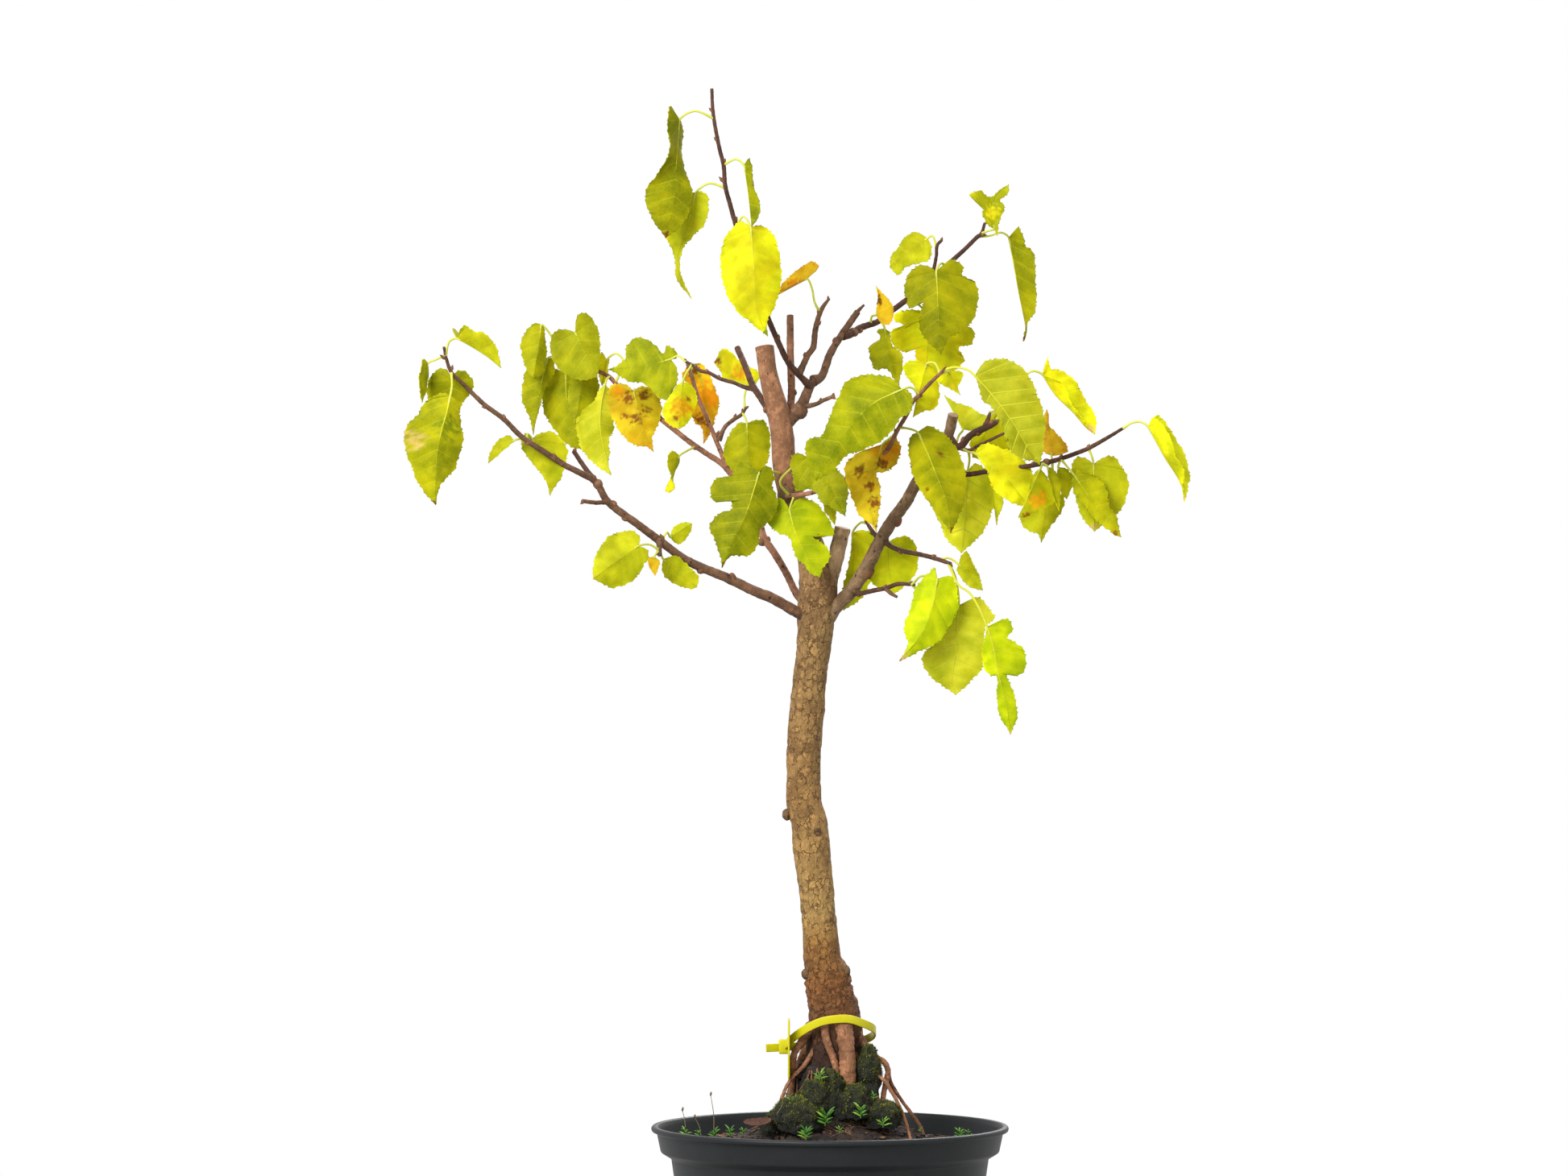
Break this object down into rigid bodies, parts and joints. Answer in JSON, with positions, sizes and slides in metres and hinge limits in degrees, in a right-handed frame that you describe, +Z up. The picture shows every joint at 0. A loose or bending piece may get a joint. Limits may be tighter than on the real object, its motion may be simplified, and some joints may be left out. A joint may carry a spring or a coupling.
{
  "type": "white mulberry bonsai",
  "caption": "Young white mulberry bonsai with pruned limbs, hanging toothed leaves, bare roots, moss, soil, a marker tie and its round nursery pot.",
  "frame": {"origin": "centre of the pot's base, on the pot's axis, at the height it stands on", "axes": "+Z up along the pot's axis, +Y away from the front view, +X to the right in the front view; millimetres in the source, metres here"},
  "size_m": [0.4763, 0.2833, 0.8182],
  "materials": {
    "bark": "matt, finely fissured bark",
    "pot_plastic": "satin moulded plastic",
    "soil": "loose dark potting mix",
    "moss": "short dense moss",
    "tie_plastic": "smooth moulded plastic",
    "leaf_olive": "thin, slightly glossy, olive leaf",
    "leaf_lime": "thin, slightly glossy, yellow-green leaf",
    "leaf_green": "thin, slightly glossy, darker green leaf",
    "leaf_yellow": "thin, slightly glossy, bright yellow autumn leaf",
    "leaf_amber": "thin, slightly glossy, orange drying leaf",
    "leaf_pale": "thin, slightly glossy, pale underside of a leaf with raised veins",
    "leaf_bright": "thin, slightly glossy, fresh green leaf",
    "leaf_spotted": "thin, slightly glossy, yellow leaf with brown spots"
  },
  "bodies": {
    "root": {"wood": "bark", "pot": "pot_plastic", "soil": "soil", "moss": "moss", "marker_tie": "tie_plastic", "leaf_top_1": "leaf_olive", "leaf_top_2": "leaf_lime", "leaf_top_3": "leaf_green", "leaf_top_4": "leaf_yellow", "leaf_top_5": "leaf_amber", "leaf_upper_right_1": "leaf_lime", "leaf_upper_right_2": "leaf_olive", "leaf_upper_right_3": "leaf_lime", "leaf_upper_right_4": "leaf_olive", "leaf_upper_right_5": "leaf_yellow", "leaf_upper_right_6": "leaf_amber", "leaf_upper_right_7": "leaf_olive", "leaves_front_tip": "leaf_yellow", "leaf_right_1": "leaf_pale", "leaf_right_2": "leaf_olive", "leaf_right_3": "leaf_pale", "leaf_right_4": "leaf_pale", "leaf_right_5": "leaf_yellow", "leaf_right_6": "leaf_yellow", "leaf_right_7": "leaf_lime", "leaves_right_8": "leaf_olive", "leaves_right_9": "leaf_lime", "leaf_right_11": "leaf_lime", "leaves_right_12": "leaf_olive", "leaf_right_13": "leaf_lime", "leaf_right_14": "leaf_yellow", "leaf_centre_1": "leaf_green", "leaf_centre_2": "leaf_green", "leaf_centre_3": "leaf_green", "leaf_centre_4": "leaf_bright", "leaf_centre_5": "leaf_spotted", "leaf_centre_6": "leaf_olive", "leaf_centre_7": "leaf_lime", "leaf_centre_8": "leaf_lime", "leaf_low_right_1": "leaf_lime", "leaves_low_right_2": "leaf_bright", "leaves_low_right_3": "leaf_pale", "leaves_left_1": "leaf_lime", "leaves_left_3": "leaf_olive", "leaves_left_4": "leaf_lime", "leaves_left_5": "leaf_olive", "leaf_left_6": "leaf_lime", "leaf_left_7": "leaf_olive", "leaf_left_8": "leaf_olive", "leaf_left_9": "leaf_pale", "leaf_left_10": "leaf_yellow", "leaf_left_11": "leaf_green", "leaf_left_12": "leaf_spotted", "leaf_left_13": "leaf_yellow", "leaf_left_14": "leaf_amber", "leaf_left_15": "leaf_yellow", "leaf_left_16": "leaf_olive", "leaf_left_17": "leaf_lime", "leaves_left_18": "leaf_lime", "leaf_left_19": "leaf_lime"}
  },
  "joints": []
}
